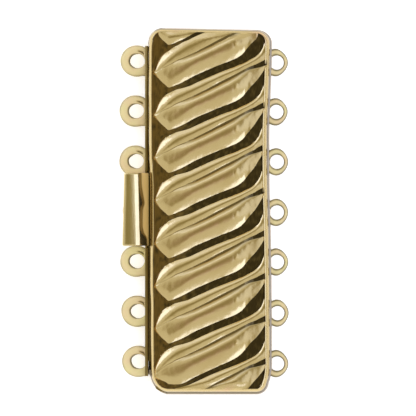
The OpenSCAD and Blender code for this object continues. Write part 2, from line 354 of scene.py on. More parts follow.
def across_gadroon(x):
    """The rows of one gadroon at one station: y from the left tip, height, how much shade is painted, how
    much streak.
    """
    upper, crease, gap, lower = (f(x) for f in outline_at)
    bead_h, crease_h, leaf_h, bead_crest, leaf_crest, bead_wall, leaf_wall, bead_rise, leaf_fall = (
        f(x) for f in relief_at
    )
    foot, head = crease + gap / 2, crease - gap / 2
    bead_step = min(WALL_WIDTH, (upper - foot) / 10)
    leaf_step = min(WALL_WIDTH, (head - lower) / 10)
    bead_edge, leaf_edge = bead_wall * bead_h, leaf_wall * leaf_h
    cut = smooth_step((x + 2.5) / 3.0)
    streak_in, streak_out = smooth_step((x + 4.6) / 2.0), smooth_step((3.0 - x) / 1.5)
    # the ground between gadroons is painted fully as shade, and so is the top of each outer wall
    rows = [(upper, 0.0, 1.0, 0.0)]
    for i in range(BEAD_STEPS + 1):
        t = (1 - math.cos(math.pi * i / BEAD_STEPS)) / 2
        z = ridge(t, bead_crest, bead_edge, bead_h, max(crease_h, bead_edge), bead_rise, BEAD_FALL)
        rows.append((upper - bead_step + (foot - upper + 2 * bead_step) * t, z, WALL_SHADE * (i == 0), 0.0))
    floor_z = max(crease_h - CREASE_WALL * cut - POCKET_WALL * smooth_step((x - 3.4) / 1.2), 0.0)
    # the crease's floor is painted as shade, more of it towards the right
    shade = 0.3 + 0.3 * cut + 0.4 * smooth_step((x - 3.2) / 1.0)
    rows.append((foot, floor_z, shade, 0.0))
    rows.append((head, floor_z, shade, 0.0))
    # the leaf's edge along the crease is painted as shade over its first rows
    dark_edge = CREASE_SHADE * smooth_step((x + 3.5) / 2.0)
    for i in range(LEAF_STEPS + 1):
        t = (1 - math.cos(math.pi * i / LEAF_STEPS)) / 2
        z = ridge(t, leaf_crest, max(crease_h, leaf_edge), leaf_h, leaf_edge, LEAF_RISE, leaf_fall)
        streak = math.exp(-(((t - STREAK_AT) / STREAK_HALF) ** 2)) * streak_in * streak_out
        ground = WALL_SHADE * (i == LEAF_STEPS) + dark_edge * max(1 - i / CREASE_ROWS, 0.0)
        rows.append((head - leaf_step + (lower - head + 2 * leaf_step) * t, z, ground, streak))
    rows.append((lower, 0.0, 1.0, 0.0))
    next_upper = upper - GADROON_PITCH
    for i in range(1, GROUND_STEPS):
        rows.append((lower + (next_upper - lower) * i / GROUND_STEPS, 0.0, 1.0, 0.0))
    return rows


print("rows in one gadroon:", len(across_gadroon(0.0)))

# %% Columns across the box
# from, to, number of columns: closest together at the border and the tips
COLUMN_RUNS = [
    (-5.955, -5.5, 16), (-5.5, -3.3, 36), (-3.3, 2.25, 34),
    (2.25, 3.0, 14), (3.0, 4.9, 32), (4.9, 5.795, 36),
]
columns = [COLUMN_RUNS[0][0]]
for start, end, count in COLUMN_RUNS:
    columns += [start + (end - start) * (i + 1) / count for i in range(count)]
FIRST_GADROON, LAST_GADROON = -2, 9

# %% [markdown]
# The field has a raised border. Along the top, the right and the bottom the gadroons run up into it,
# as they do on a casting whose pattern was carved from one block, so the border's height is worked
# out from the distance to the cover's outline and laid over the gadroons.

# %% Border round the field
COVER_LOW, COVER_HIGH = (-5.96, -18.02), (5.80, 18.08)
COVER_RADII = (1.6, 0.95, 1.2, 1.25)
TOP_SLANT = 0.02
BORDER_W = {"left": 0.34, "right": 0.46, "top": 0.34, "bottom": 0.36}
# how much shade is painted on the border's outer shoulder and on its crown, side by side
BORDER_SHOULDER_SHADE = {"left": 0.3, "right": 0.42, "top": 0.75, "bottom": 0.36}
BORDER_CROWN_SHADE = {"left": 0.24, "right": 0.06, "top": 0.2, "bottom": 0.1}
CROWN_H = 0.27
# share of the way from the outline to the border's crown, height above the ground
BORDER_RISE = smooth_curve(
    [0.0, 0.02, 0.05, 0.1, 0.18, 0.32, 0.55, 0.8, 0.95, 1.1],
    [-0.5, -0.4, -0.32, -0.22, -0.11, 0.01, 0.13, 0.225, 0.265, 0.28],
)
BORDER_WALL = {"left": 0.16, "right": 0.32, "top": 0.2, "bottom": 0.2}
MERGE_FROM, MERGE_OVER = 0.85, 0.8
# how far the crease and the leaf's tip cut into the right border, gadroon by gadroon
REACHES = [0.5, 1.0, 0.75, 0.2, 0.7, 0.0, 0.3, 0.3, 0.3, 0.3, 0.3]
REACH_Y, REACH_HALF, REACH_DEPTH = 4.98, 0.42, 0.5

# the clasp is bent a hair: y, how far right its right edge and its left edge lie
BENT = [
    (-18.3, -0.16, 0.34), (-17.2, -0.12, 0.30), (-16.6, 0.06, 0.22), (-15.5, 0.20, 0.12),
    (-12.4, 0.20, 0.09), (-9.2, 0.18, 0.08), (-7.5, 0.17, 0.02), (-4.2, 0.12, 0.02), (-2.7, 0.10, 0.08),
    (2.3, -0.03, 0.08), (4.0, -0.05, 0.0), (5.5, -0.06, -0.09), (7.4, -0.06, -0.11), (12.2, 0.09, -0.11),
    (15.8, 0.2, -0.1), (17.0, 0.2, -0.03), (18.3, 0.04, 0.06),
]
bow, left_bow = (smooth_curve([row[0] for row in BENT], [row[i] for row in BENT]) for i in (1, 2))


def drift(y, seed, size):
    """A slow waver along the clasp, as filing and polishing by hand leave it."""
    return size * noise.noise(Vector((y * 0.22, seed, 0.0)))


def right_shift(y):
    return bow(y) + drift(y, 4.0, 0.03)


def left_shift(y):
    return left_bow(y) + drift(y, 2.0, 0.02)


CORNERS = [("left", "bottom"), ("right", "bottom"), ("right", "top"), ("left", "top")]
SIDE_TABLES = (BORDER_W, BORDER_WALL, BORDER_SHOULDER_SHADE, BORDER_CROWN_SHADE)


def border_place(x, y):
    """How far inside the outline; the border's width, wall, and painted shade on shoulder and crown; if it
    is the right one.
    """
    sides = {
        "left": x - COVER_LOW[0] - left_shift(y),
        "right": COVER_HIGH[0] + right_shift(y) - x,
        "top": COVER_HIGH[1] - TOP_SLANT * x - y,
        "bottom": y - COVER_LOW[1],
    }
    across = "left" if sides["left"] < sides["right"] else "right"
    along = "top" if sides["top"] < sides["bottom"] else "bottom"
    a, b, r = sides[across], sides[along], COVER_RADII[CORNERS.index((across, along))]
    if a < r and b < r:
        distance = r - math.hypot(r - a, r - b)
        lean = (r - a) ** 2 / max((r - a) ** 2 + (r - b) ** 2, 1e-6)
    else:
        distance, lean = min(a, b), float(a < b)
    sizes = [side[across] * lean + side[along] * (1 - lean) for side in SIDE_TABLES]
    return distance, *sizes, across == "right" and a < b


def with_border(x, y, z):
    """Height of the field with the border laid over it, the share that is border, and how much shade is
    painted on it.
    """
    distance, width, wall_width, shade_strength, tone, right = border_place(x, y)
    share = distance / width
    wall = 1.0
    if right:
        gadroon = math.floor((FIRST_TIP_Y + REACH_Y + GADROON_PITCH / 2 - y) / GADROON_PITCH)
        local = y - FIRST_TIP_Y + gadroon * GADROON_PITCH - REACH_Y
        reach = REACHES[min(max(gadroon, 0), len(REACHES) - 1)]
        wall -= REACH_DEPTH * reach * smooth_step(1 - abs(local) / REACH_HALF)
    if z > CROWN_H:
        t = min(max((distance - MERGE_FROM * width) / MERGE_OVER, 0.0), 1.0)
        z = CROWN_H + (z - CROWN_H) * t * (1.5 - 0.5 * t * t)
    crown = BORDER_RISE(min(share, 1.1))
    border = 1 - smooth_step((share - wall) / wall_width)
    if share < 1:
        z = min(z, crown)
    z = max(z, crown * border if crown > 0 else crown)
    # the border is painted as shade, more on its outer shoulder than on its crown
    coloured = 1 - smooth_step((share - wall + 0.12) / wall_width)
    return z, coloured, tone + (shade_strength - tone) * smooth_step((0.8 - share) / 0.55)


print("border heights, mm:", [round(with_border(5.7 - d, 0.0, 0.0)[0], 2) for d in (0.2, 0.5, 0.8)])

# %% [markdown]
# The gadroons at the two ends differ from the others: the first bead is fuller, and the last whole leaf
# is cut off. They could have tables of their own, but a small shift of the common rows is enough.

# %% Corrections at the two ends
def corner_cut(edge, radius):
    """How far a rounded corner draws the outline in, at a distance from the neighbouring edge."""
    return radius - math.sqrt(max(radius**2 - (radius - edge) ** 2, 0.0)) if edge < radius else 0.0


# the first bead is cut fuller, and the last whole leaf is cut off by the border: x, how much y moves
FIRST_BEAD = smooth_curve([-4.2, -3.2, -2.4, -1.2, 0.5, 2.5, 4.0], [0.0, 0.12, 0.36, 0.42, 0.3, 0.1, 0.0])
LAST_LEAF = smooth_curve(
    [-5.4, -4.6, -4.08, -3.5, -2.8, -2.0, 0.0, 2.0, 3.4],
    [0.0, 0.14, 0.2, 0.0, -0.24, -0.3, -0.25, -0.15, 0.0],
)
FIRST_WHOLE, LAST_WHOLE = 0, 7


def end_shift(x, y):
    """Moves the edge between two gadroons, and what lies on both sides of it less and less."""
    for gadroon, edge, fixed_above, fixed_below, amount in (
        (FIRST_WHOLE, 0, GADROON_PITCH + outline_at[3](x), outline_at[1](x), FIRST_BEAD(x)),
        (LAST_WHOLE, 3, outline_at[1](x), outline_at[0](x) - GADROON_PITCH, LAST_LEAF(x)),
    ):
        local = y - FIRST_TIP_Y + gadroon * GADROON_PITCH
        middle = outline_at[edge](x)
        if fixed_below < local < fixed_above:
            if local > middle:
                return amount * (fixed_above - local) / (fixed_above - middle)
            return amount * (local - fixed_below) / (middle - fixed_below)
    return 0.0


# %% [markdown]
# ## Cast cover
#
# The cover is one casting. The grid takes the gadroons' heights and colours first. Then lines are cut
# across it near both ends, so that the border has rows of its own to follow. Joining a border to the
# gadroons with a Boolean would do the same, but leaves slivers where the two meet.

# %% Field of gadroons
# how uneven the ground is, and how much the beads and leaves waver
GROUND_WAVE, WAVER = 0.05, 0.012
TIP_X = -5.53
# the last whole gadroon's tip is drawn into the border
LAST_TIP = (-5.57, FIRST_TIP_Y - LAST_WHOLE * GADROON_PITCH)
TIP_MOVE, TIP_REACH = (-0.22, -0.42), 1.8
# a casting pip where each leaf starts to fall towards the right, but none near the bottom edge
PIP_X, PIP_Y, PIP_R, PIP_H, PIP_CLEAR = 2.69, 2.8, 0.14, 0.08, 2.0
# x, y and radius of the corner where the plating has flushed pink
FLUSHED = (5.2, 17.6, 1.6)
# how strong the warm colour painted on the streaks is, and how much more mottled the ground's painted shade
# is on the left
STREAK, LEFT_MOTTLE = 0.45, 1.8


def noise_at(x, y, scale, seed):
    return noise.noise(Vector((x * scale, y * scale, seed)))


def field_height(x, y, local, z, ground):
    """Height of a point of the field, with the pips and with the waver of ground, beads and leaves."""
    z += GROUND_WAVE * ground * noise_at(x, y, 1.1, 7.0)
    if y > COVER_LOW[1] + PIP_CLEAR:
        z += PIP_H * math.exp(-(((x - PIP_X) / PIP_R) ** 2) - ((local - PIP_Y) / PIP_R) ** 2)
    return z + WAVER * (1 - ground) * noise_at(x, y, 2.5, 11.0)


def tint_point(vert, layers, x, y, ground, streak):
    """Painted shade, the lighter brown painted shade of the ground on the left, and warmth of a point of
    the field. The ground's painted shade is mottled.
    """
    painted_shade, left_ground_shade, warm = layers
    right = smooth_step((x + 4.6) / 3.6)
    mottle = 0.3 * noise_at(x, y, 2.2, 3.0) + 0.2 * noise_at(x, y, 6, 5.0)
    mottle *= 1 + LEFT_MOTTLE * (1 - right)
    # the ground is painted as shade, darker towards the right and mottled; the bead, crease and leaf rows
    # keep the shade painted in their section. On the left the ground gets a lighter brown painted shade
    # instead.
    vert[painted_shade] = min(max(0.2 + 0.8 * right + mottle, 0.0), 1.0) if ground == 1.0 else ground
    vert[left_ground_shade] = float(ground == 1.0) * (1 - 0.8 * right)
    corner = math.hypot(x - FLUSHED[0], y - FLUSHED[1])
    vert[warm] = 0.5 * smooth_step(1 - corner / FLUSHED[2])
    # a warm colour painted along the dark streak that the leaf's crest mirrors, a little uneven
    vert[warm] += STREAK * streak * (1 + noise_at(x, y, 2, 9.0))


def field_of_gadroons():
    """A plain grid whose rows are moved on to the gadroons and coloured."""
    gadroon_rows = len(across_gadroon(0.0))
    row_count = gadroon_rows * (LAST_GADROON - FIRST_GADROON + 1)
    bm = bmesh.new()
    bmesh.ops.create_grid(bm, x_segments=len(columns) - 1, y_segments=row_count - 1, size=1.0)
    sections = [across_gadroon(x) for x in columns]
    layers = [bm.verts.layers.float.new(name) for name in ("painted_shade", "left_ground_shade", "warm")]
    for vert in bm.verts:
        column = round((vert.co.x + 1) / 2 * (len(columns) - 1))
        row = round((1 - vert.co.y) / 2 * (row_count - 1))
        gadroon, step = divmod(row, gadroon_rows)
        x = columns[column]
        y, z, ground, streak = sections[column][step]
        y += FIRST_TIP_Y - (FIRST_GADROON + gadroon) * GADROON_PITCH
        y += end_shift(x, y)
        local = y - FIRST_TIP_Y + (FIRST_GADROON + gadroon) * GADROON_PITCH
        z = field_height(x, y, local, z, ground)
        to_tip = math.hypot(x - LAST_TIP[0], y - LAST_TIP[1])
        near = smooth_step(1 - to_tip / TIP_REACH) * smooth_step((x + 5.95) / 0.5)
        vert.co = (x + near * TIP_MOVE[0], y + near * TIP_MOVE[1], z)
        if x < TIP_X:
            ground, streak = 1.0, 0.0
        tint_point(vert, layers, x, y, ground, streak)
    return bm


plate = field_of_gadroons()
print("faces in the field:", len(plate.faces))

# %% Border and skirt of the cover
# the plate's edge is drawn down to just above the walls
SKIRT_Z = 2.58
# distances from the cover's top and bottom edge at which the plate gets a row of its own
EDGE_STEPS = [
    0.005, 0.012, 0.025, 0.045, 0.07, 0.1, 0.14, 0.18, 0.22, 0.26, 0.3, 0.335, 0.36, 0.38, 0.4,
    0.44, 0.5, 0.6, 0.7, 0.85, 1.0, 1.2, 1.4,
]
# only the plate's edges bend: from how far out, and over what width
BEND_FROM, BEND_OVER = 4.0, 1.0


def cut_across(bm, y, up, clear):
    """Cuts the plate along a line across the box, and with clear takes away what lies outside it."""
    reach = 99.0 if clear else 0.8
    faces = [f for f in bm.faces if abs(f.verts[0].co.y - y) < reach]
    # a dict drops repeats but keeps the order, so that every run cuts alike
    edges = dict.fromkeys(e for f in faces for e in f.edges)
    verts = dict.fromkeys(v for f in faces for v in f.verts)
    bmesh.ops.bisect_plane(
        bm, geom=[*verts, *edges, *faces], dist=1e-5, plane_co=(0, y, 0),
        plane_no=(TOP_SLANT, 1, 0) if up else (0, -1, 0), clear_outer=clear,
    )


def lay_border(bm):
    """Rounds and bends the plate's outline, and lays the border over the gadroons."""
    painted_shade, left_ground_shade = (bm.verts.layers.float[name] for name in ("painted_shade", "left_ground_shade"))
    for vert in bm.verts:
        x, y, z = vert.co
        top, bottom = COVER_HIGH[1] - TOP_SLANT * x - y, y - COVER_LOW[1]
        if x > BEND_FROM:
            cut = corner_cut(bottom, COVER_RADII[1]) + corner_cut(top, COVER_RADII[2])
            x -= cut * (x - BEND_FROM) / (columns[-1] - BEND_FROM)
            x += right_shift(y) * smooth_step((x - BEND_FROM) / BEND_OVER)
        elif x < -BEND_FROM:
            cut = corner_cut(bottom, COVER_RADII[0]) + corner_cut(top, COVER_RADII[3])
            x += cut * (x + BEND_FROM) / (columns[0] + BEND_FROM)
            x += left_shift(y) * smooth_step((-x - 5.3) / 0.4)
        z, border, shade_strength = with_border(x, y, z)
        vert.co = (x, y, GROUND_Z + z)
        # on the border its painted shade takes the place of the field's, and the ground's lighter painted
        # shade goes
        vert[painted_shade] = vert[painted_shade] * (1 - border) + shade_strength * border
        vert[left_ground_shade] *= 1 - border


def close_below(bm):
    """Draws the plate's edge down to a skirt and fills the underside."""
    outline = [e for e in bm.edges if e.is_boundary]
    for part in bmesh.ops.extrude_edge_only(bm, edges=outline)["geom"]:
        if isinstance(part, bmesh.types.BMVert):
            part.co.z = SKIRT_Z
    bmesh.ops.holes_fill(bm, edges=[e for e in bm.edges if e.is_boundary], sides=0)
    bmesh.ops.recalc_face_normals(bm, faces=bm.faces)


for i, step in enumerate(EDGE_STEPS):
    cut_across(plate, COVER_HIGH[1] - step, True, i == 0)
    cut_across(plate, COVER_LOW[1] + step, False, i == 0)
lay_border(plate)
close_below(plate)
cover = finish_piece("gadrooned_cover", plate, "box", cast_gold, sharp_deg=24)
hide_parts("cover")

# %% [markdown]
# ## Walls and loops
#
# Walls and loops are all skins: a grid whose columns run round an outline and whose rows are the levels
# of its section. A closed section makes a frame, and an open one is filled at both ends. Spin and bevel
# would give the same shapes, but perfectly even ones, and here each point can move a little.

# %% Rounded outlines
CORNER_STEPS, END_STEPS, FLANK_STEPS = 9, 24, 96


def arc_point(low, high, radii, corner, share, z):
    """A point on one corner's arc; corners run anticlockwise from the lower left."""
    r = radii[corner]
    right, top = corner in (1, 2), corner in (2, 3)
    middle_x = high[0] - r if right else low[0] + r
    middle_y = high[1] - r if top else low[1] + r
    angle = math.radians(180 + 90 * (corner + share))
    return Vector((middle_x + r * math.cos(angle), middle_y + r * math.sin(angle), z))


def rounded_loop(low, high, radii, z):
    """Points round a rectangle with rounded corners, at one height."""
    loop = []
    for corner in range(4):
        for i in range(CORNER_STEPS + 1):
            loop.append(arc_point(low, high, radii, corner, i / CORNER_STEPS, z))
        start, end = loop[-1], arc_point(low, high, radii, (corner + 1) % 4, 0, z)
        steps = FLANK_STEPS if corner % 2 else END_STEPS
        loop += [start.lerp(end, i / steps) for i in range(1, steps)]
    return loop


# %% Skin over levels
def skin(bm, levels, closed, tints=None):
    """Adds a surface through loops of equal length. A closed one joins its last level to its first."""
    tints = tints or {}
    floats = bm.verts.layers.float
    layers = {name: floats.get(name) or floats.new(name) for name in ("painted_shade", *tints)}
    rows = levels + [levels[0]] if closed else levels
    across, up = len(rows[0]), len(rows) - 1
    made = bmesh.ops.create_grid(bm, x_segments=across, y_segments=up, size=1.0)["verts"]
    for vert in made:
        column = round((vert.co.x + 1) / 2 * across) % across
        row = round((vert.co.y + 1) / 2 * up)
        vert.co = rows[row][column]
        for name, values in tints.items():
            vert[layers[name]] = values[row % len(levels)][column]
    bmesh.ops.remove_doubles(bm, verts=made, dist=0.0005)
    rim = [e for e in bm.edges if e.is_boundary]
    if rim:
        bmesh.ops.holes_fill(bm, edges=rim, sides=0)
    return bm


print("points round an outline:", len(rounded_loop((-6, -18), (6, 18), (1, 1, 1, 1), 0)))

# %% [markdown]
# ## Box body
#
# A shallow tray with walls that lean in a little towards the top, so that a strip of the wall shows
# beside the cover. The left wall is cut down to a sill where the tongue goes in. No light reaches the
# inside, so the walls are dark round that mouth. A block could be hollowed with a Boolean, but a skin over
# ten levels gives floor, walls and rounded edges in one, with a named place for each level.

# %% Tray
WALL_T, FLOOR_T, SILL_Z = 0.4, 0.4, 0.45
# half the length of the mouth, and of the stretch of left wall that stays straight behind the bar
MOUTH_HALF, STRAIGHT_HALF = 15.8, 16.5
LEAN = 0.02
WALL_RADII = (1.75, 1.15, 1.3, 1.4)
# from here up the walls are painted a greyer, duller gold: painted shade for the shadowed table that the
# wall's top mirrors
LIP_Z = 2.3
TRAY_LOW, TRAY_HIGH = (-BOX_W / 2, -18.29), (6.04, 18.14)
# beyond these a point belongs to a long side, or to the slanted top end
SIDE_X, TOP_END_Y = 4.5, 17.0


def wall_level(inset, z, mouth_z=None):
    """One level of the tray, cut down to mouth_z along the mouth."""
    lean = LEAN * z / BODY_H
    low = (TRAY_LOW[0] + inset, TRAY_LOW[1] + inset + lean)
    high = (TRAY_HIGH[0] - inset - lean, TRAY_HIGH[1] - inset)
    loop = rounded_loop(low, high, [max(r - inset, 0.3) for r in WALL_RADII], z)
    for point in loop:
        if point.y > TOP_END_Y:
            point.y -= TOP_SLANT * point.x
        if point.x > SIDE_X:
            point.x += bow(point.y)
        elif point.x < -SIDE_X and abs(point.y) > STRAIGHT_HALF:
            point.x += left_bow(point.y)
        if mouth_z is not None and point.x < -5.0 and abs(point.y) < MOUTH_HALF:
            point.z = mouth_z
    return loop


def mouth_shade(point):
    """Dark where no light comes in: all of it inside the mouth, half of it beside the mouth's ends."""
    if point.x > -5.2 or point.z < 0.3 or abs(point.y) > MOUTH_HALF + 0.8:
        return 0.0
    return 1.0 if abs(point.y) < MOUTH_HALF else 0.5


bm = bmesh.new()
tray_levels = [
    wall_level(0.35, 0.0),
    wall_level(0.12, 0.02),
    wall_level(0.03, 0.1),
    wall_level(0.0, 0.25),
    wall_level(0.0, BODY_H - 0.16, SILL_Z - 0.02),
    wall_level(0.05, BODY_H - 0.04, SILL_Z - 0.01),
    wall_level(0.12, BODY_H, SILL_Z),
    wall_level(WALL_T, BODY_H, SILL_Z),
    wall_level(WALL_T, FLOOR_T + 0.1, FLOOR_T + 0.02),
    wall_level(WALL_T + 0.1, FLOOR_T),
]
# the top of the walls is painted greyer, as shade
lip = [[smooth_step((point.z - LIP_Z) / 0.12) for point in level] for level in tray_levels]
shut_in = [[mouth_shade(point) for point in level] for level in tray_levels]
skin(bm, tray_levels, closed=False, tints={"lip_shade": lip, "painted_shade": shut_in})
bmesh.ops.recalc_face_normals(bm, faces=bm.faces)
box = finish_piece("box_tray", bm, "box", body_gold, sharp_deg=45)

# %% [markdown]
# ## Rings
#
# Seven rings of wire are soldered to the right wall. The wire is thin at the outer end, and solder
# thickens it at the wall. A torus would be too regular, so each ring is a closed skin that swells and
# wavers.

# %% Rings
RING_Z = 2.17
RING_HOLE = 0.70
# middle of each ring from the bottom of the picture up: soldered by eye, so never quite in line
RING_MIDDLES = [
    (6.74, -15.21), (6.77, -10.18), (6.73, -5.08), (6.72, -0.14), (6.72, 4.90), (6.67, 9.88), (6.70, 14.79),
]
RING_ROUND, RING_WIRE = 56, 16
# half the wire's width and height at the ring's outer end, and how much they gain at the wall
WIRE_HALF, WIRE_GAIN = (0.21, 0.24), (0.13, 0.06)


def ring(bm, x, y, seed):
    """A ring of wire: thin at its outer end, thicker where it runs into the wall."""
    levels, tints = [], []
    for i in range(RING_WIRE):
        turn = 2 * math.pi * i / RING_WIRE
        flank = math.copysign(abs(math.sin(turn)) ** 0.7, math.sin(turn))
        loop, tint = [], []
        for j in range(RING_ROUND):
            angle = 2 * math.pi * j / RING_ROUND
            inward = (1 - math.cos(angle)) / 2
            half = WIRE_HALF[0] + WIRE_GAIN[0] * smooth_step(inward * 1.7)
            half += 0.02 * noise.noise(Vector((seed, 2 * inward, 0)))
            hole = RING_HOLE * (1 + 0.03 * noise_at(math.cos(angle), math.sin(angle), 1, seed))
            reach = hole + half * (1 - math.cos(turn))
            height = (WIRE_HALF[1] + WIRE_GAIN[1] * inward) * flank
            loop.append(Vector((x + reach * math.cos(angle), y + reach * math.sin(angle), RING_Z + height)))
            # shade is painted on the wire's sides and underside, patchy in strength, with a little random
            # darkening all over
            shade_strength = 0.5 + 0.5 * noise_at(math.cos(angle), math.sin(angle), 2, seed + 5)
            tint.append(min(smooth_step((1.0 - flank) / 0.25) * (0.5 + 0.8 * shade_strength) + 0.25 * shade_strength, 1.0))
        levels.append(loop)
        tints.append(tint)
    skin(bm, levels, closed=True, tints={"painted_shade": tints})


bm = bmesh.new()
for i, (x, y) in enumerate(RING_MIDDLES):
    ring(bm, x, y, 10.0 + i)
bmesh.ops.recalc_face_normals(bm, faces=bm.faces)
finish_piece("strand_rings", bm, "box", satin_gold, sharp_deg=60)
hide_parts("box_body")

# %% [markdown]
# ## End bar and eyes
#
# The bar closes the mouth and carries seven flat eyes. It is a plain strip, cut lower where the neck
# passes over. Each eye is a thick washer with soft edges and a neck that meets the bar square, so its
# hole looks like a D beside the bar. Both are skins: the bar's levels follow its length, and the eye's
# go round its section.

# %% Bar
BAR_LOW, BAR_HIGH = (-6.43, -16.45), (-6.095, 16.45)
BAR_Z = (0.25, 2.45)
# middle and half length of the stretch that is cut lower, and its height there
THUMB_Y, NECK_HALF = 0.16, 3.85
BAR_CUT_Z = 1.18
# the rounding of the bar's upper edges and ends, and half the width of each step down
BAR_EDGE, BAR_END, CUT_HALF = 0.05, 0.04, 0.005


def bar_section(y, inset):
    """The bar's outline at one place along it, lower where the neck passes over."""
    top = BAR_CUT_Z if abs(y - THUMB_Y) < NECK_HALF else BAR_Z[1]
    left, right, low = BAR_LOW[0] + inset, BAR_HIGH[0] - inset, BAR_Z[0] + inset
    section = [(left, low), (right, low), (right, top - inset - BAR_EDGE), (right - BAR_EDGE, top - inset)]
    section += [(left + BAR_EDGE, top - inset), (left, top - inset - BAR_EDGE)]
    return [Vector((x, y, z)) for x, z in section]


bm = bmesh.new()
# y along the bar, how far its section draws in there
stops = [(BAR_LOW[1], BAR_END), (BAR_LOW[1] + BAR_END, 0.0)]
for cut in (THUMB_Y - NECK_HALF, THUMB_Y + NECK_HALF):
    stops += [(cut - CUT_HALF, 0.0), (cut + CUT_HALF, 0.0)]
stops += [(BAR_HIGH[1] - BAR_END, 0.0), (BAR_HIGH[1], BAR_END)]
skin(bm, [bar_section(y, inset) for y, inset in stops], closed=False)
bmesh.ops.recalc_face_normals(bm, faces=bm.faces)
bar = finish_piece("bar_strip", bm, "tongue_half", bar_gold, sharp_deg=50)

# %% Eyes
EYE_X, EYE_Z = 7.27, 0.62
EYE_R, EYE_HOLE, EYE_NECK, EYE_REACH = 1.57, 0.71, 1.5, 1.0
EYE_ROUND = 72
# share of the way from the hole to the outer edge, height above the eye's underside
EYE_SECTION = [
    (-0.14, 0.05), (-0.1, 0.3), (0.0, 0.47), (0.04, 0.52), (0.12, 0.55), (0.24, 0.56), (0.31, 0.56),
    (0.38, 0.56), (0.5, 0.56), (0.65, 0.55), (0.8, 0.52), (0.9, 0.47), (0.97, 0.38), (1.0, 0.25),
    (0.98, 0.1), (0.88, 0.0), (0.1, 0.0),
]
# a groove curves round the hole's upper right: where between hole and edge, then from and to in degrees
GROOVE_SHARE, GROOVE_HALF, GROOVE_FROM, GROOVE_TO, GROOVE_DEPTH = 0.31, 0.12, 38, 92, 0.3


def eye(bm, shift, y, seed):
    levels, tints = [], []
    for share, height in EYE_SECTION:
        loop, tint = [], []
        for j in range(EYE_ROUND):
            angle = 2 * math.pi * j / EYE_ROUND
            c, s = math.cos(angle), math.sin(angle)
            outer = EYE_R * (1 + 0.03 * noise_at(c, s, 1, seed)) + 0.07 * max(-c, 0.0)
            if c > 0:
                neck = EYE_NECK / max(abs(s), 0.01) if s < 0 else outer
                outer = min(max(outer, neck), (EYE_REACH - shift) / max(c, 0.01))
            hole = EYE_HOLE * (1 + 0.07 * noise_at(c, s, 1, seed + 20)) * (1 + 0.12 * abs(c))
            hidden = share if share > 0 else share * smooth_step(0.3 - c)
            reach = hole + (outer - hole) * hidden
            turned = math.degrees(angle)
            groove = smooth_step((turned - GROOVE_FROM) / 12) * smooth_step((GROOVE_TO - turned) / 25)
            groove *= smooth_step(1 - abs(share - GROOVE_SHARE) / GROOVE_HALF)
            up = height - GROOVE_DEPTH * groove if height > 0.5 else height
            loop.append(Vector((-EYE_X + shift + reach * c, y + reach * s, EYE_Z + up)))
            # shade is painted on the outer edge, patchy in strength, at the hole's edge and in the groove
            shade_strength = 0.5 + 0.5 * noise_at(c, s, 2, seed + 5)
            outer_edge = smooth_step((share - 0.74) / 0.24) * (0.2 + 0.8 * shade_strength)
            hole_edge = smooth_step((0.08 - share) / 0.1)
            tint.append(min(outer_edge + hole_edge + groove, 1.0))
        levels.append(loop)
        tints.append(tint)
    skin(bm, levels, closed=True, tints={"painted_shade": tints})


# how far right of its place each eye stands, from the bottom of the picture up
EYE_SHIFTS = [0.17, 0.10, -0.01, 0.24, -0.10, -0.08, 0.02]
bm = bmesh.new()
for i, shift in enumerate(EYE_SHIFTS):
    eye(bm, shift, (i - 3) * STRAND_PITCH - 0.02, 40.0 + i)
bmesh.ops.recalc_face_normals(bm, faces=bm.faces)
finish_piece("bar_eyes", bm, "tongue_half", satin_gold, sharp_deg=50)
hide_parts("end_bar")

# %% [markdown]
# ## Spring leaf and thumb piece
#
# One strip of sheet: a curl on the tongue's rolled edge, the leaf with its two shoulders, then a
# narrow neck that turns up outside the mouth and folds over to a gently sloping thumb plate. Solidify
# would give a flat sheet its thickness, but a skin also rounds the cut edges.

# %% Strips of sheet
LEAF_T = 0.3
# the cut edges are rounded: side, how far in, share of the thickness there
CUT_EDGES = [
    (-1, 0.0, 0.5), (-1, 0.03, 0.82), (-1, 0.09, 1.0),
    (1, 0.09, 1.0), (1, 0.03, 0.82), (1, 0.0, 0.5),
]


def strip(bm, path, half_widths, middle_y, thickness):
    """A bent strip: path is (x, z) along its middle, with half the width at each point."""
    count = len(path)
    normals = []
    for i in range(count):
        a, b = path[max(i - 1, 0)], path[min(i + 1, count - 1)]
        length = math.hypot(b[0] - a[0], b[1] - a[1])
        normals.append((-(b[1] - a[1]) / length, (b[0] - a[0]) / length))
    levels = []
    for share, inset, full in CUT_EDGES:
        loop = []
        for side in (1, -1):
            order = range(count) if side > 0 else range(count - 1, -1, -1)
            for i in order:
                end = 0.6 if i in (0, count - 1) else 1.0
                off = side * thickness / 2 * full * end
                x, z = path[i][0] + normals[i][0] * off, path[i][1] + normals[i][1] * off
                loop.append(Vector((x, middle_y + share * (half_widths[i] - inset), z)))
        levels.append(loop)
    skin(bm, levels, closed=False)


def bend(middle, radius, start_deg, end_deg, steps=8):
    """(x, z) points along an arc."""
    angles = [math.radians(start_deg + (end_deg - start_deg) * i / steps) for i in range(steps + 1)]
    return [(middle[0] + radius * math.cos(a), middle[1] + radius * math.sin(a)) for a in angles]


# the tongue's rolled edge that the leaf curls round, and how the leaf rises from it
FOLD_X, FOLD_Z = 4.9, 1.1
CURL_RADIUS, LEAF_ABOVE_FOLD = 0.43, 0.37
TILT = math.tan(math.radians(2.2))


def leaf_z(x):
    """Height of the middle of the leaf's sheet."""
    return FOLD_Z + LEAF_ABOVE_FOLD + (FOLD_X - x) * TILT


